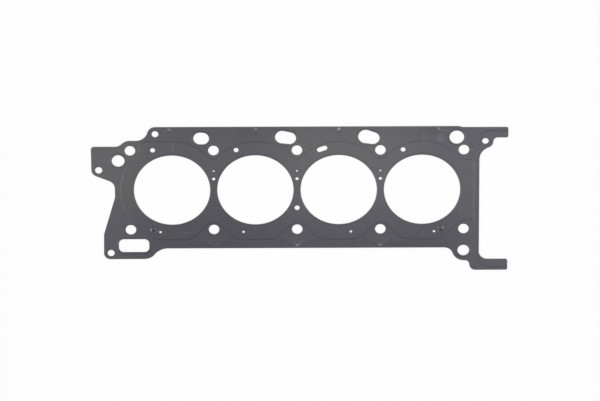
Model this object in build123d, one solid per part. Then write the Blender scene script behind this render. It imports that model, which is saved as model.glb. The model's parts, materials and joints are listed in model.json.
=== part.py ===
from build123d import *
import math
import os

# Multi-layer steel head gasket for one bank of four cylinders.
# Millimetres, +Z up. The origin is the centre of the head bolt grid, in the plane that the
# lower layer's raised lands rest on. X runs along the bank towards the timing cover and Y
# across it, towards the side with the oval passages.
# Two thin beaded sheets close over a flat spacer sheet, and small rivets hold the stack.

# --- Cylinders and head bolts ---
bore_count = 4
bore_pitch = 108.0
bore_opening = 98.8
bolt_row_spacing = 112.5
bolt_hole = 13.65

# --- Sheets and beads ---
bead_sheet = 0.25
spacer_sheet = 0.45
bead_height = 0.22
step_width = 1.8
fire_bead_lip = 0.7
fire_bead_width = 2.8
fire_bead_depth = 0.10
ring_offset = 2.0

# --- Outer edge, measured from the bolt rows ---
upper_margin = 33.35
lower_margin = 26.9
cover_margin = 57.3

# --- Step round the cylinders, measured from the bolt rows and the bore centres ---
upper_swell = 12.65
upper_swell_half = 25.0
upper_swell_arc = 24.44
lower_swell = 14.3
lower_swell_half = 25.2
lower_swell_radius = 24.0
bolt_land = 8.2
upper_dip_radius = 9.5
lower_dip_radius = 10.6

# --- Passages and screw holes ---
jacket_offset = 12.5
jacket_hole = 6.4
jacket_hole_angle = 113.5
jacket_slot_width = 6.7
jacket_slot_angle = 6.6
slotted_bore = 2
bleed_hole = 3.35
bleed_hole_angle = 75.3
web_hole = 4.2
web_hole_y = 15.75
vent_hole = 2.5
vent_hole_y = 27.0
knock_hole = 6.7
knock_hole_y = -25.7
window_length = 39.4
window_height = 18.75
window_radius = 6.4

# --- Rivets ---
rivet_shank = 2.6
rivet_head = 4.6
rivet_head_height = 0.20
rivet_head_crown = 0.3
rivet_clearance = 0.05
upper_rivet_edge = 3.2
lower_rivet_edge = 4.45
rivet_pad_radius = 4.4
inner_rivet_side = 25.0
inner_rivet_shift = 4.4
tool_overrun = 1.0

bore_r = bore_opening / 2
bolt_r = bolt_hole / 2
bores = [bore_pitch * (i - (bore_count - 1) / 2) for i in range(bore_count)]
columns = [bore_pitch * (i - bore_count / 2) for i in range(bore_count + 1)]
end = columns[-1]
row = bolt_row_spacing / 2
upper_edge = row + upper_margin
lower_edge = -row - lower_margin
cover_edge = end + cover_margin
jacket_r = bore_r + jacket_offset

# Heights of the stack, from the rest plane up
lower_flat = bead_height
spacer_bottom = lower_flat + bead_sheet
upper_flat = spacer_bottom + spacer_sheet
grip_top = upper_flat + bead_sheet

# Outer edge, clockwise from the ear at the far end. Each corner is x, y and its radius.
outer_edge = [
    (-end - 50.6, row + 5.75, 4.0),
    (-end - 15.4, row + 5.75, 10.5),
    (-end - 5.2, row + 14.0, 12.8),
    (-end + 19.7, row + 14.0, 15.4),
    (-end + 24.8, upper_edge, 10.4),
    (end - 6.1, upper_edge, 16.4),
    (end - 2.0, row + 31.9, 6.5),
    (cover_edge, row + 31.9, 2.4),
    (cover_edge, row + 17.3, 2.5),
    (end + 38.3, row + 17.3, 5.8),
    (end + 37.7, row + 5.4, 9.3),
    (end + 20.2, row - 1.3, 18.0),
    (end + 20.2, -row - 43.6, 10.9),
    (cover_edge, -row - 43.6, 3.0),
    (cover_edge, -row - 59.2, 2.6),
    (end + 8.4, -row - 59.2, 7.8),
    (end + 7.5, -row - 45.3, 6.0),
    (end - 10.5, -row - 45.3, 15.2),
    (end - 16.6, lower_edge, 11.5),
    (-end + 37.4, lower_edge, 22.3),
    (-end + 25.3, -row - 41.9, 16.3),
    (-end - 35.5, -row - 42.1, 8.5),
    (-end - 35.1, -row - 6.5, 7.5),
    (-end - 20.2, -10.4, 11.1),
    (-end - 20.2, 10.3, 11.4),
    (-end - 50.2, row - 33.45, 9.7),
]

# Raised area of the timing cover joint. It runs out past the edge, which trims it.
cover_joint = [
    (cover_edge + 10.0, row + 26.85, 3.0),
    (cover_edge + 10.0, -row - 54.55, 3.0),
    (end + 17.0, -row - 54.55, 19.0),
    (end + 17.0, row - 4.25, 15.0),
    (end + 20.6, row + 7.75, 15.0),
    (end + 20.6, row + 26.85, 11.0),
]

# Round holes for screws and passages at the ends: x, y, diameter
screw_holes = [
    (-end - 40.75, row - 27.6, 9.2),
    (-end + 32.7, row + 23.4, 8.65),
    (end + 27.7, row + 12.25, 8.35),
    (-end - 26.2, -row - 33.3, 9.05),
]
round_passages = [
    (-end - 15.4, row - 14.35, 16.55),
    (end - 9.3, row + 17.75, 18.8),
    (end, -row - 30.85, 15.25),
]

# Oval passages beside the inner bolts: two circles each, x and y from the bolt, radius
oval_passages = [
    [(-17.3, 17.1, 8.5), (-14.0, 16.9, 8.4)],
    [(-19.2, 18.6, 9.0), (-9.6, 17.0, 8.5)],
    [(-19.1, 19.1, 9.6), (-9.8, 16.8, 8.6)],
]
window_centre = (-end + 3.9, -row - 22.8)

upper_rivets = [
    (bores[0] - 3.5, upper_edge - upper_rivet_edge),
    (bores[1] + 0.5, upper_edge - upper_rivet_edge),
    (bores[-2] + 0.3, upper_edge - upper_rivet_edge),
    (end - 32.5, upper_edge - upper_rivet_edge),
]
lower_rivets = [(x, lower_edge + lower_rivet_edge) for x in columns[1:-1]]
inner_rivets = [
    (bores[0] - inner_rivet_side, -jacket_r + inner_rivet_shift),
    (bores[-1] + inner_rivet_side, -jacket_r + inner_rivet_shift),
]
end_rivets = [
    (-end - 32.0, row - 34.25),
    (end + 14.7, row + 0.75),
    (end + 13.5, -row - 53.75),
]


def moved_out(corners, distance):
    """The same rounded outline, given clockwise, with its edges and arcs moved outwards."""
    moved = []
    for i, (x, y, radius) in enumerate(corners):
        x_before, y_before, _ = corners[i - 1]
        x_after, y_after, _ = corners[(i + 1) % len(corners)]
        arriving = Vector(x - x_before, y - y_before).normalized()
        leaving = Vector(x_after - x, y_after - y).normalized()
        reach = distance / (1 + arriving.dot(leaving))
        x_moved = x - (arriving.Y + leaving.Y) * reach
        y_moved = y + (arriving.X + leaving.X) * reach
        bulges = arriving.cross(leaving).Z < 0
        moved.append((x_moved, y_moved, radius + (distance if bulges else -distance)))
    return moved


def rounded(corners):
    """Face inside straight runs that meet in an arc at each corner."""
    points = [(x, y) for x, y, _ in corners]
    radii = [radius for _, _, radius in corners]
    return make_face(FilletPolyline(*points, radius=radii, close=True))


def oval(column, circles, grow=0.0):
    """Hull of two circles beside the upper bolt of a column."""
    rims = [Pos(column + x, row + y) * Circle(radius + grow) for x, y, radius in circles]
    return make_hull([edge for rim in rims for edge in rim.edges()])


def disc(x, y, diameter, grow=0.0):
    return Pos(x, y) * Circle(diameter / 2 + grow)


def window(grow=0.0):
    size = RectangleRounded(
        window_length + 2 * grow, window_height + 2 * grow, window_radius + grow
    )
    return Pos(*window_centre) * size


def combustion_joint():
    """Middle line of the step round the cylinders, between them and the bolts and passages.

    It swells round each cylinder and dips inside every bolt. An upper swell's two arcs nearly
    meet at its top, whatever the depth of the dips. The far end follows the last cylinder in
    one large arc, and the near end squares off towards the timing cover."""
    dip = row - bolt_r - bolt_land
    upper = row + upper_swell
    lower = -row - lower_swell
    turn = math.atan2(upper - dip, bore_pitch / 2 - upper_swell_half)
    upper_swell_radius = upper_swell_arc / math.tan(turn / 2)
    line = [
        (-end - 37.0, -5.8, 67.7),
        (-end + 11.1, row - 4.05, 8.0),
        (-end + 12.9, row + 13.0, 12.7),
    ]
    for bore in bores:
        if bore != bores[0]:
            line.append((bore - upper_swell_half, upper, upper_swell_radius))
        line.append((bore + upper_swell_half, upper, upper_swell_radius))
        if bore != bores[-1]:
            line.append((bore + bore_pitch / 2, dip, upper_dip_radius))
    line += [
        (end - 0.8, row - 13.75, 7.0),
        (end + 13.4, row - 13.25, 7.0),
        (end + 13.4, -row + 12.95, 3.0),
        (end - 2.7, -row + 12.75, 12.0),
    ]
    for bore in reversed(bores):
        line.append((bore + lower_swell_half, lower, lower_swell_radius))
        line.append((bore - lower_swell_half, lower, lower_swell_radius))
        if bore != bores[0]:
            line.append((bore - bore_pitch / 2, -dip, lower_dip_radius))
    return line


def openings():
    """Every hole that passes through all the sheets, apart from those of the rivets."""
    faces = [disc(x, 0, bore_opening) for x in bores]
    faces += [disc(x, y, bolt_hole) for x in columns for y in (row, -row)]
    faces += [disc(*hole) for hole in screw_holes + round_passages]
    faces += [oval(x, circles) for x, circles in zip(columns[1:], oval_passages)]
    faces.append(window())
    for i, bore in enumerate(bores):
        hub = Pos(bore, 0)
        angle = jacket_hole_angle
        if i == slotted_bore:
            middle = CenterArc((bore, 0), jacket_r, angle - jacket_slot_angle, jacket_slot_angle)
            faces.append(SlotArc(middle, jacket_slot_width))
        else:
            faces.append(hub * Rot(0, 0, angle) * Pos(jacket_r, 0) * Circle(jacket_hole / 2))
        side = -bleed_hole_angle if bore > 0 else bleed_hole_angle - 180
        faces.append(hub * Rot(0, 0, side) * Pos(jacket_r, 0) * Circle(bleed_hole / 2))
    for x in columns[1:-1]:
        faces.append(disc(x, web_hole_y, web_hole))
        faces.append(disc(x, vent_hole_y, vent_hole))
    faces.append(disc(0, knock_hole_y, knock_hole))
    return faces


def blank():
    """Outline of every sheet with all its holes punched."""
    rivet_hole = rivet_shank + 2 * rivet_clearance
    rivets = upper_rivets + lower_rivets + inner_rivets + end_rivets
    return rounded(outer_edge) - openings() - [disc(x, y, rivet_hole) for x, y in rivets]


def step_up(rim):
    """Raised area whose sloping step is centred on rim(0); rim takes an outward offset."""
    foot = rim(step_width / 2)
    crest = Pos(0, 0, bead_height) * rim(-step_width / 2)
    return loft([foot, crest], ruled=True)


def fire_bead(bore):
    """Rolled groove that sinks a ring of the raised area back towards the spacer."""
    middle = bore_r + fire_bead_lip + fire_bead_width / 2
    left = (middle - fire_bead_width / 2, bead_height)
    right = (middle + fire_bead_width / 2, bead_height)
    arc = ThreePointArc(left, (middle, bead_height - fire_bead_depth), right)
    lid = Polyline(right, (right[0], tool_overrun), (left[0], tool_overrun), left)
    section = Plane.XZ * make_face([arc, lid])
    return Pos(bore, 0) * revolve(section, Axis.Z)


def rivet_pad(x, y):
    """Round pad that is pressed back flat so that a rivet can grip the sheets."""
    slope = step_width / bead_height
    height = bead_height + tool_overrun
    top = rivet_pad_radius + slope * height
    return Pos(x, y, height / 2) * Cone(rivet_pad_radius, top, height)


def lift():
    """How far each spot of a beaded sheet stands off the spacer, as a solid on Z = 0."""
    combustion = combustion_joint()
    raised = step_up(lambda grow: rounded(moved_out(combustion, grow)))
    raised += step_up(lambda grow: rounded(moved_out(cover_joint, grow)))
    raised += step_up(lambda grow: window(ring_offset + grow))
    for hole in round_passages:
        raised += step_up(lambda grow: disc(*hole, ring_offset + grow))
    for x, circles in zip(columns[1:], oval_passages):
        raised += step_up(lambda grow: oval(x, circles, ring_offset + grow))
    raised -= [fire_bead(x) for x in bores]
    raised -= [rivet_pad(x, y) for x, y in inner_rivets]
    return raised


def beaded_sheet(punched):
    """Beaded sheet, its flat areas on Z = 0 and its raised areas above them."""
    raised = lift() & extrude(rounded(outer_edge), tool_overrun)
    sheet = extrude(rounded(outer_edge), bead_sheet) + Pos(0, 0, bead_sheet) * raised - raised
    return sheet & extrude(punched, tool_overrun)


def rivet():
    """Low-headed rivet through the whole stack, both heads inside its free thickness."""
    head_r = rivet_head / 2
    crown_r = head_r - rivet_head_crown
    section = Polyline(
        (0, lower_flat - rivet_head_height),
        (crown_r, lower_flat - rivet_head_height),
        (head_r, lower_flat),
        (rivet_shank / 2, lower_flat),
        (rivet_shank / 2, grip_top),
        (head_r, grip_top),
        (crown_r, grip_top + rivet_head_height),
        (0, grip_top + rivet_head_height),
        close=True,
    )
    return revolve(Plane.XZ * make_face(section), Axis.Z)


def write(name, shape):
    export_step(shape, f"parts/{name}.step")


os.makedirs("parts", exist_ok=True)
punched_blank = blank()
upper = Pos(0, 0, upper_flat) * beaded_sheet(punched_blank)
middle_height = spacer_bottom + spacer_sheet / 2
write("upper_bead_layer", upper)
write("lower_bead_layer", mirror(upper, about=Plane.XY.offset(middle_height)))
write("centre_spacer", Pos(0, 0, spacer_bottom) * extrude(punched_blank, spacer_sheet))
for name, places in (
    ("upper_edge_rivet", upper_rivets),
    ("lower_edge_rivet", lower_rivets),
    ("inner_rivet", inner_rivets),
    ("end_rivet", end_rivets),
):
    for number, (x, y) in enumerate(places, 1):
        write(f"{name}_{number}", Pos(x, y) * rivet())
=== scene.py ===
import bmesh
import bpy
import json
import math
from mathutils import Matrix, Vector
from typing import NamedTuple


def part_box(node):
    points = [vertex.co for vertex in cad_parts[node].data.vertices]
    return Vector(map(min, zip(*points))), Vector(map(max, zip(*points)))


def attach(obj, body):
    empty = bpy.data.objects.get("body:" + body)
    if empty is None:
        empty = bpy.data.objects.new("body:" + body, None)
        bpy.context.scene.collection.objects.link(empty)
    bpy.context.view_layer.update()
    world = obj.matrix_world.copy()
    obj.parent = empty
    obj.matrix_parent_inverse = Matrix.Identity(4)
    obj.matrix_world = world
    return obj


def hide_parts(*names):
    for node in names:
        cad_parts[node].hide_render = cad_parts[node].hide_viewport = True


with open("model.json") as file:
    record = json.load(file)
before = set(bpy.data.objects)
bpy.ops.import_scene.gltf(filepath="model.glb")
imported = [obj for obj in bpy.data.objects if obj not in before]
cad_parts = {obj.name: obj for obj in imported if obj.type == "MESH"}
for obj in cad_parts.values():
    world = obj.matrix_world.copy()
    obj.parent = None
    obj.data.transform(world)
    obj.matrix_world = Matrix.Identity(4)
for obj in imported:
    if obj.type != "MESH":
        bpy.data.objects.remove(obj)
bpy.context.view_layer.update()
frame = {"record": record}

# Multi-layer steel head gasket for one bank of four cylinders. Lengths in this file are in
# millimetres until a mesh is made, and MM turns them into the frame's metres.
MM = 0.001

# --- Heights and bolt grid, read from the frame ---
mounts = {mount["name"]: mount["dims"] for mount in frame["record"]["mounts"]}
end = mounts["head_bolts_outer"]["spacing_x_mm"] / 2
row = mounts["head_bolts_outer"]["spacing_y_mm"] / 2
bolt_r = mounts["head_bolts_outer"]["hole_r_mm"]
spacer_low, spacer_high = (corner.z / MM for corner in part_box("centre_spacer"))
sheet_low, sheet_high = (corner.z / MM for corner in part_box("upper_bead_layer"))
middle_height = (spacer_low + spacer_high) / 2
cover_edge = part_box("centre_spacer")[1].x / MM

# --- Sheets and beads ---
bead_sheet = 0.25
bead_height = sheet_high - sheet_low - bead_sheet
flat_top = sheet_low + bead_sheet
crest_top = flat_top + bead_height
step_width = 1.8
step_land = 0.4
step_reach = step_width / 2 + step_land
fire_bead_lip = 0.7
fire_bead_width = 2.8
fire_bead_depth = 0.10
fire_bead_land = 0.5
ring_offset = 2.0
rim_chamfer = 0.05

# --- Outer edge and holes ---
bore_count = 4
bore_pitch = 2 * end / bore_count
bore_r = 49.4
upper_edge = row + 33.35
lower_edge = -row - 26.9
jacket_r = bore_r + 12.5
jacket_hole_r = 3.2
jacket_hole_angle = 113.5
jacket_slot_r = 3.35
jacket_slot_angle = 6.6
slotted_bore = 2
bleed_hole_r = 1.675
bleed_hole_angle = 75.3
web_hole = (15.75, 2.1)
vent_hole = (27.0, 1.25)
knock_hole = (-25.7, 3.35)

# --- Step round the cylinders, from the bolt rows and the cylinders' centres ---
bolt_land = 8.2
upper_swell = 12.65
upper_swell_half = 25.0
upper_swell_arc = 24.44
upper_dip_r = 9.5
lower_swell = 14.3
lower_swell_half = 25.2
lower_swell_r = 24.0
lower_dip_r = 10.6

# --- Rivets ---
head_low, head_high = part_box("end_rivet_1")
head_height = head_high.z / MM - flat_top
head_r = (head_high.x - head_low.x) / 2 / MM
shank_r = 1.3
rivet_hole_r = 1.35
rivet_pad_r = 4.4
rivet_pad_lip = 0.05
rivet_sides = 40

# Radii at which a crown's profile has a point, as shares of the head's.
crown_shares = (0, 0.12, 0.25, 0.38, 0.5, 0.62, 0.74, 0.85, 0.93, 0.98, 1)
pit_r = 1.6
pit_depth = 0.16

bores = [bore_pitch * (i - (bore_count - 1) / 2) for i in range(bore_count)]
columns = [bore_pitch * (i - bore_count / 2) for i in range(bore_count + 1)]
bolt_holes = [(x, y, bolt_r) for x in columns for y in (row, -row)]

# Corners of outlines are x, y and radius, and run clockwise.
outer_corners = [
    (cover_edge, row + 31.9, 2.4),
    (cover_edge, row + 17.3, 2.5),
    (end + 38.3, row + 17.3, 5.8),
    (end + 37.7, row + 5.4, 9.3),
    (end + 20.2, row - 1.3, 18.0),
    (end + 20.2, -row - 43.6, 10.9),
    (cover_edge, -row - 43.6, 3.0),
    (cover_edge, -row - 59.2, 2.6),
    (end + 8.4, -row - 59.2, 7.8),
    (end + 7.5, -row - 45.3, 6.0),
    (end - 10.5, -row - 45.3, 15.2),
    (end - 16.6, lower_edge, 11.5),
    (-end + 37.4, lower_edge, 22.3),
    (-end + 25.3, -row - 41.9, 16.3),
    (-end - 35.5, -row - 42.1, 8.5),
    (-end - 35.1, -row - 6.5, 7.5),
    (-end - 20.2, -10.4, 11.1),
    (-end - 20.2, 10.3, 11.4),
    (-end - 50.2, row - 33.45, 9.7),
    (-end - 50.6, row + 5.75, 4.0),
    (-end - 15.4, row + 5.75, 10.5),
    (-end - 5.2, row + 14.0, 12.8),
    (-end + 19.7, row + 14.0, 15.4),
    (-end + 24.8, upper_edge, 10.4),
    (end - 6.1, upper_edge, 16.4),
    (end - 2.0, row + 31.9, 6.5),
]
raised_corners = slice(1, 7)
cover_overrun = 10.0
cover_joint_top = row + 26.85
cover_joint_bottom = -row - 54.55
cover_corners = [
    (cover_edge + cover_overrun, cover_joint_top, 3.0),
    (cover_edge + cover_overrun, cover_joint_bottom, 3.0),
    (end + 17.0, cover_joint_bottom, 19.0),
    (end + 17.0, row - 4.25, 15.0),
    (end + 20.6, row + 7.75, 15.0),
    (end + 20.6, cover_joint_top, 11.0),
]
far_step_corners = [
    (-end - 37.0, -5.8, 67.7),
    (-end + 11.1, row - 4.05, 8.0),
    (-end + 12.9, row + 13.0, 12.7),
]
cover_step_corners = [
    (end - 0.8, row - 13.75, 7.0),
    (end + 13.4, row - 13.25, 7.0),
    (end + 13.4, -row + 12.95, 3.0),
    (end - 2.7, -row + 12.75, 12.0),
]
flat_screw_holes = [
    (-end - 40.75, row - 27.6, 4.6),
    (-end + 32.7, row + 23.4, 4.325),
    (-end - 26.2, -row - 33.3, 4.525),
]
raised_screw_hole = (end + 27.7, row + 12.25, 4.175)
round_passages = [
    (-end - 15.4, row - 14.35, 8.275),
    (end - 9.3, row + 17.75, 9.4),
    (end, -row - 30.85, 7.625),
]
oval_passages = [
    [(-17.3, 17.1, 8.5), (-14.0, 16.9, 8.4)],
    [(-19.2, 18.6, 9.0), (-9.6, 17.0, 8.5)],
    [(-19.1, 19.1, 9.6), (-9.8, 16.8, 8.6)],
]
window_centre = (-end + 3.9, -row - 22.8)
window_size = (39.4, 18.75)
window_r = 6.4

rivet_names = {
    "upper": [f"upper_edge_rivet_{i}" for i in (1, 2, 3, 4)],
    "lower": [f"lower_edge_rivet_{i}" for i in (1, 2, 3)],
    "inner": [f"inner_rivet_{i}" for i in (1, 2)],
    "end": [f"end_rivet_{i}" for i in (1, 2, 3)],
}

# Arcs pressed up in the sheet beside a rivet, as first and last angle in degrees. Their rise is
# given as widths and rises from the rim inwards.
coined_r = 4.05
coined_inner_r = 3.4
coined_half = 0.85
coined_rise = [(0.3, 0.04), (0.25, 0.05), (0.2, 0.01)]
coined_arcs = {
    **{name: (195, 345) for name in rivet_names["upper"]},
    **{name: (15, 165) for name in rivet_names["lower"]},
    "inner_rivet_1": (135, 215),
    "inner_rivet_2": (10, 75),
    "end_rivet_2": (140, 220),
}


def rivet_centre(name):
    """Where a rivet stands, as x and y."""
    low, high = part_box(name)
    return ((low.x + high.x) / 2 / MM, (low.y + high.y) / 2 / MM)


# ---------------------------------------------------------------- outlines

# A circle's first point is turned by one radian for every circle_lead millimetres of x.
circle_lead = 100


class Arc(NamedTuple):
    """A stretch of outline: its centre, radius, start angle and turn, anticlockwise positive."""

    x: float
    y: float
    radius: float
    start: float
    turn: float

    def at(self, share):
        """The place at a share of the way along, from 0 to 1."""
        angle = self.start + share * self.turn
        across, up = math.cos(angle), math.sin(angle)
        return Vector((self.x + self.radius * across, self.y + self.radius * up))


def rounded(corners):
    """The arcs that round the corners of a closed outline."""
    arcs = []
    for i, (x, y, radius) in enumerate(corners):
        corner = Vector((x, y))
        arriving = (corner - Vector(corners[i - 1][:2])).normalized()
        leaving = (Vector(corners[(i + 1) % len(corners)][:2]) - corner).normalized()
        turn = math.atan2(arriving.cross(leaving), arriving.dot(leaving))
        side = math.copysign(1, turn)
        inward = side * Vector((-arriving.y, arriving.x))
        centre = corner - arriving * radius * math.tan(abs(turn) / 2) + inward * radius
        arcs.append(Arc(centre.x, centre.y, radius, math.atan2(-inward.y, -inward.x), turn))
    return arcs


def hull(x, y, circles):
    """Clockwise arcs round two circles, the left one first, whose centres are given from x, y."""
    (x1, y1, r1), (x2, y2, r2) = circles
    along = math.atan2(y2 - y1, x2 - x1)
    lean = math.asin((r1 - r2) / math.hypot(x2 - x1, y2 - y1))
    upper = along + math.pi / 2 - lean
    lower = along - math.pi / 2 + lean
    return [
        Arc(x + x1, y + y1, r1, lower, -(math.pi + 2 * lean)),
        Arc(x + x2, y + y2, r2, upper, -(math.pi - 2 * lean)),
    ]


def point(x, y):
    """A sharp corner, as an arc of no size."""
    return Arc(x, y, 0, 0, 0)


def circle(x, y, radius):
    """A clockwise circle. Each starts at an angle of its own, so that no two have level points."""
    start = x / circle_lead
    return [Arc(x, y, radius, start, -math.pi), Arc(x, y, radius, start + math.pi, -math.pi)]


def banana(x, y, radius, half_width, first, last):
    """Clockwise arcs round a curved slot on a circle about x, y, between two angles in degrees."""
    first, last = math.radians(first), math.radians(last)
    tip_1 = Vector((x + radius * math.cos(last), y + radius * math.sin(last)))
    tip_2 = Vector((x + radius * math.cos(first), y + radius * math.sin(first)))
    return [
        Arc(x, y, radius + half_width, last, first - last),
        Arc(tip_2.x, tip_2.y, half_width, first, -math.pi),
        Arc(x, y, radius - half_width, first, last - first),
        Arc(tip_1.x, tip_1.y, half_width, last + math.pi, -math.pi),
    ]


def grown(arcs, distance):
    """A clockwise outline moved outwards."""
    return [arc._replace(radius=arc.radius - math.copysign(distance, arc.turn)) for arc in arcs]


def combustion_joint():
    """Middle line of the step round the cylinders, inside the bolts and passages."""
    dip = row - bolt_r - bolt_land
    upper = row + upper_swell
    lower = -row - lower_swell
    turn = math.atan2(upper - dip, bore_pitch / 2 - upper_swell_half)
    upper_swell_r = upper_swell_arc / math.tan(turn / 2)
    corners = list(far_step_corners)
    for bore in bores:
        if bore != bores[0]:
            corners.append((bore - upper_swell_half, upper, upper_swell_r))
        corners.append((bore + upper_swell_half, upper, upper_swell_r))
        if bore != bores[-1]:
            corners.append((bore + bore_pitch / 2, dip, upper_dip_r))
    corners += cover_step_corners
    for bore in reversed(bores):
        corners.append((bore + lower_swell_half, lower, lower_swell_r))
        corners.append((bore - lower_swell_half, lower, lower_swell_r))
        if bore != bores[0]:
            corners.append((bore - bore_pitch / 2, -dip, lower_dip_r))
    return rounded(corners)


# ---------------------------------------------------------------- mesh making

# How far an arc's chords may stray from it, and how far each may turn from the one before.
CHORD = 0.012
WIDEST_STEP = math.radians(6)
# Points closer than this become one.
MERGED = CHORD / 2


def lifted(place, height):
    """A place on the sheet and a height, in metres."""
    return Vector((place.x * MM, place.y * MM, height * MM))


def start_point(place):
    """A new mesh of one point, selected and in edit mode."""
    bpy.ops.object.select_all(action="DESELECT")
    bpy.ops.mesh.primitive_plane_add(size=MM)
    bpy.ops.object.mode_set(mode="EDIT")
    bpy.ops.mesh.select_mode(type="VERT")
    bpy.ops.mesh.select_all(action="SELECT")
    bpy.ops.mesh.merge(type="CENTER")
    bpy.ops.transform.translate(value=place)


def draw(arcs, height, closed=True):
    """A new mesh, left in edit mode, with arcs and the runs between them as one chain."""
    start_point(lifted(arcs[0].at(0), height))
    for i, arc in enumerate(arcs):
        if arc.turn:
            step = min(WIDEST_STEP, 2 * math.acos(1 - CHORD / arc.radius))
            bpy.ops.mesh.spin(
                steps=math.ceil(abs(arc.turn) / step),
                angle=-arc.turn,
                center=lifted(Vector((arc.x, arc.y)), height),
                axis=(0, 0, 1),
            )
        last = i == len(arcs) - 1
        run = (arcs[0 if last else i + 1].at(0) - arc.at(1)) * MM
        if run.length > CHORD * MM and (closed or not last):
            bpy.ops.mesh.extrude_region_move(TRANSFORM_OT_translate={"value": run.to_3d()})
    bpy.ops.mesh.select_all(action="SELECT")
    if closed:
        bpy.ops.mesh.remove_doubles(threshold=MERGED * MM)


def lay_down():
    """Leaves edit mode and gives the mesh that was being made."""
    bpy.ops.object.mode_set(mode="OBJECT")
    return bpy.context.object


def outline(arcs, height, closed=True):
    """A mesh of one chain of edges."""
    draw(arcs, height, closed)
    return lay_down()


def shaped(arcs, height, profile):
    """Fills an outline with a face that looks up, and insets it by widths and rises."""
    draw(arcs, height)
    bpy.ops.mesh.edge_face_add()
    bpy.ops.mesh.select_mode(type="FACE")
    bpy.ops.mesh.select_all(action="SELECT")
    [face] = bmesh.from_edit_mesh(bpy.context.edit_object.data).faces
    if face.normal.z < 0:
        bpy.ops.mesh.flip_normals()
    for width, rise in profile:
        bpy.ops.mesh.inset(thickness=width * MM, depth=rise * MM, use_even_offset=True)


def band(arcs, height, profile, outset):
    """A strip that starts outset outside an outline and follows widths and rises inwards."""
    shaped(grown(arcs, outset), height, profile)
    bpy.ops.mesh.delete(type="ONLY_FACE")
    return lay_down()


def swelling(arcs, height, profile):
    """A closed low rise inside an outline."""
    shaped(arcs, height, profile)
    return lay_down()


def slope(width, rise, parts=6):
    """A smooth step, as widths and rises: level at both ends and steepest in the middle."""
    shares = [i / parts for i in range(parts + 1)]
    heights = [rise * (3 * share**2 - 2 * share**3) for share in shares]
    return [(width / parts, heights[i + 1] - heights[i]) for i in range(parts)]


def groove(width, depth, parts=8):
    """A rolled groove with soft shoulders, as widths and rises."""
    heights = [-depth * (1 - math.cos(2 * math.pi * i / parts)) / 2 for i in range(parts + 1)]
    return [(width / parts, heights[i + 1] - heights[i]) for i in range(parts)]


def joined(strips, name):
    """One mesh of all the strips, with the points where they meet merged, in edit mode."""
    bpy.ops.object.select_all(action="DESELECT")
    for strip in strips:
        strip.select_set(True)
    bpy.context.view_layer.objects.active = strips[0]
    bpy.ops.object.join()
    piece = bpy.context.object
    piece.name = piece.data.name = name
    bpy.ops.object.mode_set(mode="EDIT")
    bpy.ops.mesh.select_mode(type="VERT")
    bpy.ops.mesh.select_all(action="SELECT")
    bpy.ops.mesh.remove_doubles(threshold=MERGED * MM)
    return piece


def fill_level(height, kept_open=()):
    """Fills between the open edges at one height, save those inside circles kept open."""
    bpy.ops.mesh.select_mode(type="EDGE")
    bpy.ops.mesh.select_all(action="DESELECT")
    edit = bmesh.from_edit_mesh(bpy.context.edit_object.data)
    for edge in edit.edges:
        places = [vert.co / MM for vert in edge.verts]
        level = all(abs(place.z - height) < CHORD for place in places)
        free = not any(math.dist(places[0].xy, (x, y)) < radius for x, y, radius in kept_open)
        edge.select = level and free and len(edge.link_faces) < 2
    bpy.ops.mesh.fill(use_beauty=True)


# ---------------------------------------------------------------- the sheets


def small_holes():
    """Round holes on the raised land round the cylinders: x, y, radius."""
    holes = []
    for i, bore in enumerate(bores):
        hub = Arc(bore, 0, jacket_r, math.radians(jacket_hole_angle), 0)
        if i != slotted_bore:
            place = hub.at(0)
            holes.append((place.x, place.y, jacket_hole_r))
        side = -bleed_hole_angle if bore > 0 else bleed_hole_angle - 180
        place = hub._replace(start=math.radians(side)).at(0)
        holes.append((place.x, place.y, bleed_hole_r))
    for x in columns[1:-1]:
        holes.append((x, *web_hole))
        holes.append((x, *vent_hole))
    holes.append((0, *knock_hole))
    return holes


def jacket_slot():
    """The one jacket passage that is a short curved slot."""
    first = jacket_hole_angle - jacket_slot_angle
    return banana(bores[slotted_bore], 0, jacket_r, jacket_slot_r, first, jacket_hole_angle)


def window_corners():
    """Corners of the window's outline, clockwise."""
    x, y = window_centre
    across, up = window_size[0] / 2, window_size[1] / 2
    sides = [(-1, 1), (1, 1), (1, -1), (-1, -1)]
    return [(x + side_x * across, y + side_y * up, window_r) for side_x, side_y in sides]


def passages():
    """Clockwise outlines of the passages that have a raised ring of their own."""
    rims = [circle(*hole) for hole in round_passages]
    rims += [hull(x, row, circles) for x, circles in zip(columns[1:], oval_passages)]
    rims.append(rounded(window_corners()))
    return rims


def coined(name, radius):
    """The arc pressed up beside a rivet, if it has one."""
    if name not in coined_arcs:
        return []
    rim = banana(*rivet_centre(name), radius, coined_half, *coined_arcs[name])
    return [swelling(rim, flat_top, coined_rise)]


def sunk_pad(name):
    """Round pad for a rivet, pressed back from the raised land to the flat level."""
    profile = [(step_land, 0)] + slope(step_width, -bead_height) + [(rivet_pad_lip, 0)]
    pad = band(circle(*rivet_centre(name), rivet_pad_r), crest_top, profile, step_width + step_land)
    hole = outline(circle(*rivet_centre(name), rivet_hole_r), flat_top)
    joined([pad, hole] + coined(name, coined_inner_r), name + "_pad")
    fill_level(flat_top)
    return lay_down()


def rivet_holes(*groups):
    """Holes for the rivets of the groups named: x, y, radius."""
    return [(*rivet_centre(name), rivet_hole_r) for group in groups for name in rivet_names[group]]


def step_up():
    """A level land and the step above it, as widths and rises."""
    return [(step_land, 0)] + slope(step_width, bead_height)


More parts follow.
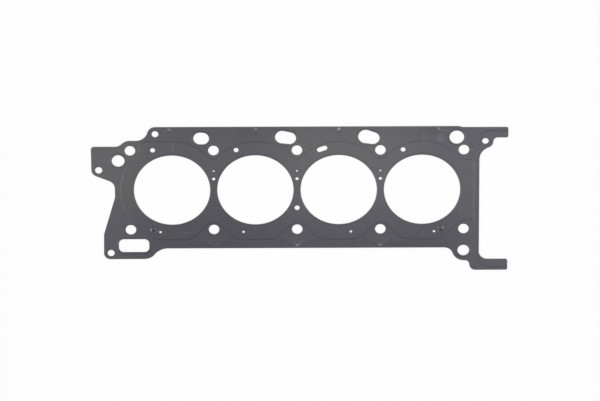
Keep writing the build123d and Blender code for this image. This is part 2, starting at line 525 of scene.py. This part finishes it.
def combustion_land():
    """Raised land round the cylinders, with its step, fire beads, sunk pads and small holes."""
    strips = [band(combustion_joint(), flat_top, step_up() + [(step_land, 0)], step_reach)]
    rolled = [(fire_bead_land, 0)] + groove(fire_bead_width, fire_bead_depth) + [(fire_bead_lip, 0)]
    fire_bead_reach = fire_bead_lip + fire_bead_width + fire_bead_land
    for bore in bores:
        strips.append(band(circle(bore, 0, bore_r), crest_top, rolled, fire_bead_reach))
    strips += [sunk_pad(name) for name in rivet_names["inner"]]
    strips += [outline(circle(*hole), crest_top) for hole in small_holes()]
    strips.append(outline(jacket_slot(), crest_top))
    joined(strips, "combustion_land")
    fill_level(crest_top, kept_open=[(bore, 0, bore_r + fire_bead_lip) for bore in bores])
    return lay_down()


def cover_land():
    """Raised land of the timing cover's joint, whose step runs off the end of the sheet."""
    step = band(rounded(cover_corners), flat_top, step_up() + [(step_land, 0)], step_reach)
    bpy.ops.object.mode_set(mode="EDIT")
    bpy.ops.mesh.select_all(action="SELECT")
    bpy.ops.mesh.bisect(plane_co=(cover_edge * MM, 0, 0), plane_no=(1, 0, 0), clear_outer=True)
    lay_down()
    first = point(cover_edge, cover_joint_top - step_reach)
    last = point(cover_edge, cover_joint_bottom + step_reach)
    corners = [first, *rounded(outer_corners)[raised_corners], last]
    edge = outline(corners, crest_top, closed=False)
    joined([step, edge, outline(circle(*raised_screw_hole), crest_top)], "cover_land")
    fill_level(crest_top)
    return lay_down()


def ground_strips():
    """The rims of the flat ground, with the raised rings and arcs that stand on it."""
    ring = step_up() + [(ring_offset - step_width / 2, 0)]
    strips = [band(rim, flat_top, ring, ring_offset + step_reach) for rim in passages()]
    holes = bolt_holes + flat_screw_holes + rivet_holes("upper", "lower", "end")
    strips += [outline(circle(*hole), flat_top) for hole in holes]
    for name in rivet_names["upper"] + rivet_names["lower"] + rivet_names["end"]:
        strips += coined(name, coined_r)
    strips.append(outline(grown(combustion_joint(), step_reach), flat_top))
    first = point(cover_edge, cover_joint_bottom - step_reach)
    last = point(cover_edge, cover_joint_top + step_reach)
    edge = rounded(outer_corners)
    corners = [first, *edge[raised_corners.stop:], edge[0], last]
    strips.append(outline(corners, flat_top, closed=False))
    return strips


def beaded_sheet(name):
    """Top face of the upper sheet: flat ground, and the raised lands that rise from it."""
    raised_land = combustion_land()
    cover = cover_land()
    joined([*ground_strips(), cover], "ground")
    fill_level(flat_top)
    return joined([lay_down(), raised_land], name)


def spacer_sheet(name):
    """Top face of the flat middle sheet, with every hole of the other two."""
    round_holes = small_holes() + flat_screw_holes + [raised_screw_hole]
    round_holes += rivet_holes(*rivet_names) + bolt_holes
    round_holes += [(bore, 0, bore_r) for bore in bores]
    loops = [rounded(outer_corners), jacket_slot(), *passages()]
    loops += [circle(*hole) for hole in round_holes]
    joined([outline(loop, spacer_high) for loop in loops], name)
    fill_level(spacer_high)


def add_slots(piece):
    """Two empty slots for materials. A modifier only gives faces to a slot that is there."""
    for _ in range(2):
        piece.data.materials.append(None)


def thickened(thickness):
    """Gives the sheet being made its thickness and cut rims, with a fine chamfer on their edges."""
    piece = lay_down()
    add_slots(piece)
    solid = piece.modifiers.new("sheet", "SOLIDIFY")
    solid.thickness = thickness * MM
    solid.offset = -1
    solid.material_offset_rim = 1
    chamfer = piece.modifiers.new("rim", "BEVEL")
    chamfer.width = rim_chamfer * MM
    chamfer.segments = 1
    chamfer.use_clamp_overlap = False
    chamfer.loop_slide = False
    chamfer.angle_limit = math.radians(60)
    chamfer.material = 1
    for modifier in ("sheet", "rim"):
        bpy.ops.object.modifier_apply(modifier=modifier)
    bpy.ops.object.shade_smooth_by_angle(angle=math.radians(30))
    return piece


def copied(piece, name):
    """A copy with its own mesh."""
    copy = piece.copy()
    copy.data = piece.data.copy()
    copy.name = copy.data.name = name
    bpy.context.collection.objects.link(copy)
    return copy


# ---------------------------------------------------------------- the rivets


def rivet(name, dimple_r=0, dimple_depth=0):
    """Rivet turned on the Z axis, with a low dome at each end and a dimple in it if asked for."""
    crown = []
    for share in crown_shares:
        radius = share * head_r
        rise = head_height * math.sqrt(1 - share**2)
        if radius < dimple_r:
            rise -= dimple_depth * (1 - (radius / dimple_r) ** 2)
        crown.append((radius, rise))
    upper = [(radius, flat_top + rise) for radius, rise in crown] + [(shank_r, flat_top)]
    profile = upper + [(radius, 2 * middle_height - height) for radius, height in reversed(upper)]
    corners = [Vector((radius * MM, 0, height * MM)) for radius, height in profile]
    start_point(corners[0])
    for before, after in zip(corners, corners[1:]):
        bpy.ops.mesh.extrude_region_move(TRANSFORM_OT_translate={"value": after - before})
    bpy.ops.mesh.select_all(action="SELECT")
    bpy.ops.mesh.spin(steps=rivet_sides, angle=2 * math.pi, center=(0, 0, 0), axis=(0, 0, 1))
    bpy.ops.mesh.select_all(action="SELECT")
    bpy.ops.mesh.remove_doubles(threshold=MERGED * MM)
    bpy.ops.mesh.normals_make_consistent(inside=False)
    piece = lay_down()
    piece.name = piece.data.name = name
    add_slots(piece)
    for face in piece.data.polygons:
        # Faces in the dimple take the second slot, which holds painted shade.
        face.material_index = int(face.center.xy.length < dimple_r * MM)
    bpy.ops.object.shade_smooth_by_angle(angle=math.radians(50))
    return piece


# ---------------------------------------------------------------- finishes


class Channel:
    """A value or colour inside a finish, which can be used in sums."""

    def __init__(self, finish, output):
        self.finish = finish
        self.output = output

    def of(self, name):
        """Another output of the node this one comes from."""
        return Channel(self.finish, self.output.node.outputs[name])

    def maths(self, operation, first, second):
        """The channel that a Math node gives."""
        return self.finish.maths(operation, first, second)

    def __add__(self, other):
        return self.maths("ADD", self, other)

    def __radd__(self, other):
        return self.maths("ADD", other, self)

    def __sub__(self, other):
        return self.maths("SUBTRACT", self, other)

    def __rsub__(self, other):
        return self.maths("SUBTRACT", other, self)

    def __mul__(self, other):
        return self.maths("MULTIPLY", self, other)

    def __rmul__(self, other):
        return self.maths("MULTIPLY", other, self)

    def __truediv__(self, other):
        return self.maths("DIVIDE", self, other)

    def __rtruediv__(self, other):
        return self.maths("DIVIDE", other, self)

    def __pow__(self, other):
        return self.maths("POWER", self, other)

    def __rpow__(self, other):
        return self.maths("POWER", other, self)


class Finish:
    """A material in the making, whose nodes all come from node()."""

    def __init__(self, name):
        self.material = bpy.data.materials.new(name)
        self.material.use_nodes = True
        self.nodes = self.material.node_tree.nodes
        self.links = self.material.node_tree.links
        self.nodes.clear()
        self.place = self.node("TexCoord").of("Object")

    def node(self, kind, settings=None, sockets=None):
        """Adds a node: first its settings, then the values or links of its sockets."""
        made = self.nodes.new("ShaderNode" + kind)
        for name, value in (settings or {}).items():
            setattr(made, name, value)
        usable = [socket for socket in made.inputs if socket.enabled]
        named = {socket.name: socket for socket in reversed(usable)}
        for key, value in (sockets or {}).items():
            socket = usable[key] if isinstance(key, int) else named[key]
            if isinstance(value, Channel):
                self.links.new(value.output, socket)
            else:
                socket.default_value = value
        return Channel(self, next((output for output in made.outputs if output.enabled), None))

    def maths(self, operation, *values):
        """The channel that a Math node gives."""
        return self.node("Math", {"operation": operation}, dict(enumerate(values)))

    def axes(self):
        """x, y and z on the piece, in millimetres."""
        separate = self.node("SeparateXYZ", {}, {0: self.place})
        return [separate.of(axis) / MM for axis in "XYZ"]

    def noise(self, scale, detail, stretch=(1, 1, 1)):
        """Soft noise from 0 to 1, with scale in cells per metre."""
        place = self.node("Mapping", {}, {"Vector": self.place, "Scale": stretch})
        return self.node("TexNoise", {}, {"Vector": place, "Scale": scale, "Detail": detail})

    def soft(self, value, low, high):
        """0 below low and 1 above high, with a smooth rise between."""
        settings = {"interpolation_type": "SMOOTHSTEP"}
        return self.node("MapRange", settings, {"Value": value, "From Min": low, "From Max": high})

    def blend(self, factor, first, second):
        """Goes from one colour to another."""
        settings = {"data_type": "RGBA"}
        return self.node("Mix", settings, {"Factor": factor, "A": first, "B": second})

    def bump(self, height, distance):
        """Normals for a height from 0 to 1 that stands for a distance in millimetres."""
        return self.node("Bump", {}, {"Height": height, "Distance": distance * MM, "Strength": 1.0})

    def surface(self, **sockets):
        """Ends the finish with a shader whose sockets are given by name."""
        named = {name.replace("_", " "): value for name, value in sockets.items()}
        shader = self.node("BsdfPrincipled", {}, named)
        self.node("OutputMaterial", {}, {"Surface": shader})
        return self.material


def linear(value):
    """The amount of light of a screen value of 0 to 1."""
    return value / 12.92 if value <= 0.04045 else ((value + 0.055) / 1.055) ** 2.4


def grey(red, green, blue):
    """A colour from its screen values of 0 to 255."""
    return (*(linear(value / 255) for value in (red, green, blue)), 1)


cool_greys = (grey(53, 51, 61), grey(81, 79, 88))
warm_greys = (grey(53, 52, 55), grey(82, 81, 84))
# Light grey of scuffs, and of painted highlights.
scuff_and_highlight_grey = grey(120, 118, 124)
# Dark grey of painted shade.
painted_shade_grey = grey(40, 39, 43)

# Scuffs and scratches on the coating, and painted highlights beside the inner rivets: x, y, half
# length across, half length up, strength.
scuff_and_highlight_places = [
    (162, 71, 1.0, 19, 0.16),
    (164.5, 70, 0.9, 18, 0.16),
    (152, 62, 1.1, 6, 0.18),
    (163, -64, 1.3, 8, 0.16),
    (150, -63, 1.0, 6, 0.12),
    (212, -30, 1.2, 12, 0.12),
    (-161, 62, 1.1, 9, 0.28),
    (-133, 58, 6.5, 1.0, 0.3),
    (-143.5, -61, 7.5, 0.8, 0.35),
    (186, 73, 6, 8, 0.24),
    (-80, 82, 2.5, 3, 0.12),
    # Painted highlights: the next five are the bright walls of the dimples at the two inner rivets,
    # and spots beside them.
    (-190, -56.3, 1.7, 3.4, 1.3),
    (-184.4, -54.3, 1.4, 1.4, 0.45),
    (-190.3, -51.2, 1.0, 1.3, 0.25),
    (188.9, -54.6, 1.8, 3.8, 1.3),
    (183, -54.1, 1.4, 1.8, 0.55),
    (-247.5, 21.5, 1.0, 5.0, 0.22),
    (226.2, 57, 1.1, 3.2, 0.35),
]

# Marks beside the rivets of a row: a painted highlight along the arc, a little outside it, and
# painted shade at its foot.
# Each is full within mark_core of its middle and gone at its half width.
mark_core = 0.1
highlight_offset = 0.2
highlight_strength = 0.25
highlight_half = 1.2
foot_aside = 2.9
foot_half = 1.1
foot_depth = 2.0


def rivet_marks(finish, x, y, group, side):
    """Painted highlights on the shoulders of the arc beside each rivet of a row, and painted shade
    at its foot.
    """
    places = [rivet_centre(name) for name in rivet_names[group]]
    aside = finish.maths("ABSOLUTE", x - places[0][0])
    for place_x, _ in places[1:]:
        aside = finish.maths("MINIMUM", aside, finish.maths("ABSOLUTE", x - place_x))
    away = (y - places[0][1]) * side
    ring = finish.maths("ABSOLUTE", (aside**2 + away**2) ** 0.5 - coined_r - highlight_offset)
    highlight = highlight_strength * finish.soft(ring, highlight_half, mark_core)
    highlight = highlight * finish.soft(aside, 1.2, 2.8) * finish.soft(away, 0.2, 1.6)
    foot = finish.soft(finish.maths("ABSOLUTE", aside - foot_aside), foot_half, mark_core)
    return highlight, foot * finish.soft(away**2, foot_depth**2, 0)


def scuff_and_highlight_spots(finish, x, y):
    """Ragged light spots: scuffs, and painted highlights beside the inner rivets."""
    ragged = finish.noise(700, detail=3) - 0.5
    marks = []
    for mark_x, mark_y, across, up, strength in scuff_and_highlight_places:
        reach = ((x - mark_x) / across) ** 2 + ((y - mark_y) / up) ** 2
        marks.append(strength * finish.soft(reach + 1.2 * ragged, 1.0, 0.0))
    return sum(marks)


def painted_light_and_cloud(finish, x, y, brushed):
    """Painted light and shade on the coating, lighter to the upper edge, round the middle and at
    both ends, over its own cloudy and brushed variation.
    """
    drift = finish.noise(9, detail=3)
    # Painted light and shade: the smooth changes over x and y. The noises are the coating's own
    # cloudiness.
    rise = finish.soft(y, -82, 38) - 0.2 * finish.soft(y, 60, 82)
    middle = finish.soft(x, -70, 40) - 0.7 * finish.soft(x, 105, 200)
    left = finish.soft(x, -185, -225) * (1 - 0.25 * rise)
    right = finish.soft(x, 180, 235) * (1 - 0.9 * rise)
    painted_dim_band = finish.soft(x, -205, -145) - finish.soft(x, -80, 0)
    shade_and_cloud = 0.54 * rise + 0.38 * rise * middle + 0.2 * middle + 0.3 * left + 0.4 * right
    cloud = finish.noise(40, detail=5)
    shade_and_cloud = shade_and_cloud - 0.14 * painted_dim_band + 0.35 * (drift - 0.5) + 0.22 * (brushed - 0.5) + 0.25 * (cloud - 0.5)
    return finish.soft(shade_and_cloud, -0.35, 1.35)


def warmth(finish, x, y):
    """How far the coating's grey goes from cool to warm."""
    upper = 0.25 * finish.soft(y, -10, 30) * finish.soft(x, 195, 165)
    far_end = 0.7 * finish.soft(x, -180, -215) * finish.soft(y, -50, -15)
    middle = 0.5 * (finish.soft(x, -35, 0) - finish.soft(x, 90, 125)) * finish.soft(y, -20, 15)
    return upper + far_end + middle


def coated_sheet():
    """Thin grey rubber coating on steel sheet: satin, cloudy, faintly brushed, scuffed in places,
    with painted light and shade over it and painted highlights and shade by the rivets.
    """
    finish = Finish("coated_sheet")
    x, y, z = finish.axes()
    brushed = finish.noise(330, detail=4, stretch=(1, 0.035, 1))
    light = painted_light_and_cloud(finish, x, y, brushed)
    cool_grey = finish.blend(light, *cool_greys)
    warm_grey = finish.blend(light, *warm_greys)
    colour = finish.blend(warmth(finish, x, y), cool_grey, warm_grey)

    # Painted highlights on the arcs beside the edge rivets, and painted shade at their feet.
    upper_highlight, upper_foot = rivet_marks(finish, x, y, "upper", -1)
    lower_highlight, lower_foot = rivet_marks(finish, x, y, "lower", 1)
    outside = finish.soft(z, spacer_high, flat_top)
    marks = (scuff_and_highlight_spots(finish, x, y) + upper_highlight + lower_highlight) * outside
    # Painted shade at the feet of the arcs.
    painted_shade = (upper_foot + 0.5 * lower_foot) * outside
    colour = finish.blend(marks, colour, scuff_and_highlight_grey)
    colour = finish.blend(0.5 * painted_shade, colour, painted_shade_grey)
    fine = finish.noise(1400, detail=3)
    return finish.surface(
        Base_Color=colour,
        Roughness=0.24 + 0.08 * fine + 0.05 * (1 - brushed),
        Normal=finish.bump(0.6 * fine + 0.4 * brushed, 0.003),
    )


def bare_steel(name, red, green, blue, roughness):
    """Bare steel with fine drawn lines, of a middle colour in screen values."""
    spread = 12
    darker = grey(red - spread, green - spread, blue - spread)
    lighter = grey(red + spread, green + spread, blue + spread)
    finish = Finish(name)
    lines = finish.noise(700, detail=3, stretch=(1, 0.05, 1))
    return finish.surface(
        Base_Color=finish.blend(lines, darker, lighter),
        Metallic=1.0,
        Roughness=roughness + 0.15 * lines,
        Normal=finish.bump(lines, 0.004),
    )


# ---------------------------------------------------------------- putting the gasket together

coating = coated_sheet()
cut_edge = bare_steel("cut_edge_steel", 152, 150, 154, 0.35)
spacer_steel = bare_steel("spacer_steel", 130, 129, 132, 0.35)
rivet_steel = bare_steel("rivet_steel", 112, 111, 115, 0.35)
dull_steel = bare_steel("dull_rivet_steel", 84, 82, 86, 0.45)
# Darker steel in the dimples of the inner rivets: painted shade in the pit.
pit_shade_steel = bare_steel("rivet_pit_steel", 70, 68, 73, 0.5)
polished_steel = bare_steel("polished_rivet_steel", 137, 135, 139, 0.33)


def finished(piece, node, slot, *materials):
    """Gives a piece its materials, hangs it on the root body and hides the node of the frame that
    it stands for.
    """
    for index, material in enumerate(materials):
        piece.data.materials[index] = material
    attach(piece, "root")
    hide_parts(node)


beaded_sheet("upper_sheet")
upper_sheet = thickened(bead_sheet)
lower_sheet = copied(upper_sheet, "lower_sheet")
turn_over = Matrix.Diagonal((1, 1, -1, 1))
turn_over.translation.z = 2 * middle_height * MM
lower_sheet.data.transform(turn_over)
lower_sheet.data.flip_normals()
finished(upper_sheet, "upper_bead_layer", "coated_sheet", coating, cut_edge)
finished(lower_sheet, "lower_bead_layer", "coated_sheet", coating, cut_edge)

spacer_sheet("spacer")
spacer = thickened(spacer_high - spacer_low)
finished(spacer, "centre_spacer", "spacer_sheet", spacer_steel, cut_edge)

crowns = {"upper": rivet_steel, "lower": rivet_steel, "inner": dull_steel, "end": coating}
odd_crowns = {"lower_edge_rivet_1": dull_steel, "upper_edge_rivet_3": polished_steel}
plain_rivet = rivet("rivet")
dimpled_rivet = rivet("dimpled_rivet", pit_r, pit_depth)
for group, names in rivet_names.items():
    pattern = dimpled_rivet if group == "inner" else plain_rivet
    for name in names:
        piece = copied(pattern, "rivet_" + name.replace("_rivet", ""))
        piece.data.transform(Matrix.Translation(lifted(Vector(rivet_centre(name)), 0)))
        finished(piece, name, "rivet", odd_crowns.get(name, crowns[group]), pit_shade_steel)
for pattern in (plain_rivet, dimpled_rivet):
    bpy.data.objects.remove(pattern)

# ---------------------------------------------------------------- floor, light and camera

glow_share = 0.8


def pale_floor():
    """White to the eye, with part of its light from the lamps, so that it still holds shadows."""
    finish = Finish("floor")
    paint = finish.node("BsdfDiffuse", {}, {"Color": (0.95, 0.95, 0.95, 1)})
    glow = finish.node("Emission", {}, {"Color": (1, 1, 1, 1), "Strength": 1.0})
    light = finish.node("LightPath")
    seen = light.of("Is Camera Ray") + light.of("Is Glossy Ray") + light.of("Is Transmission Ray")
    mixed = finish.node("MixShader", {}, {0: seen * glow_share, 1: paint, 2: glow})
    finish.node("OutputMaterial", {}, {"Surface": mixed})
    return finish.material


bpy.ops.object.select_all(action="DESELECT")
bpy.ops.mesh.primitive_plane_add(size=12)
floor = bpy.context.object
floor.name = "floor"
floor.data.materials.append(pale_floor())

world = bpy.data.worlds.new("studio")
world.use_nodes = True
background = world.node_tree.nodes["Background"]
background.inputs["Color"].default_value = (1, 1, 1, 1)
background.inputs["Strength"].default_value = 0.62
bpy.context.scene.world = world


def softbox(name, place, width, depth, strength):
    """Soft lamp at a place in metres, turned to the gasket, as bright as white at strength 1."""
    away = Vector(place)
    lamp = bpy.data.lights.new(name, "AREA")
    lamp.shape = "RECTANGLE"
    lamp.size = width
    lamp.size_y = depth
    lamp.energy = strength * math.pi * width * depth
    holder = bpy.data.objects.new(name, lamp)
    facing = away.to_track_quat("Z", "Y").to_matrix().to_4x4()
    holder.matrix_world = Matrix.Translation(away) @ facing
    bpy.context.collection.objects.link(holder)


softbox("left_box", (-0.68, -0.62, 1.4), 0.7, 0.24, 5.2)
softbox("middle_box", (0.02, -0.56, 1.4), 0.56, 0.2, 2.5)
softbox("right_box", (0.66, -0.52, 1.4), 0.74, 0.26, 5.0)
softbox("high_box", (-0.42, -0.28, 1.4), 0.4, 0.2, 0.9)
softbox("fill_box", (0, 1.2, 1.3), 1.4, 0.8, 2.0)

# The camera's height and side are angles as seen from view_centre, and its distance is in metres.
camera_height = math.radians(65.34)
camera_side = math.radians(0.0990108)
camera_roll = math.radians(-0.300077)
camera_distance = 9.9298
view_centre = Vector((3.75, -15.07, sheet_high)) * MM
right = Vector((math.cos(camera_side), math.sin(camera_side), 0))
away = Vector((-math.sin(camera_side), math.cos(camera_side), 0))
back = math.cos(camera_height) * away + math.sin(camera_height) * Vector((0, 0, 1))
up = math.sin(camera_height) * away - math.cos(camera_height) * Vector((0, 0, 1))
camera_x = math.cos(camera_roll) * right + math.sin(camera_roll) * up
camera_y = math.cos(camera_roll) * up - math.sin(camera_roll) * right
camera_data = bpy.data.cameras.new("camera")
camera_data.lens = 459.3
camera_data.sensor_width = 36
camera_data.sensor_fit = "HORIZONTAL"
camera_data.clip_end = 100
camera = bpy.data.objects.new("camera", camera_data)
facing = Matrix((camera_x, camera_y, back)).transposed().to_4x4()
camera.matrix_world = Matrix.Translation(view_centre + camera_distance * back) @ facing
bpy.context.collection.objects.link(camera)
bpy.context.scene.camera = camera
bpy.context.scene.view_settings.view_transform = "Standard"
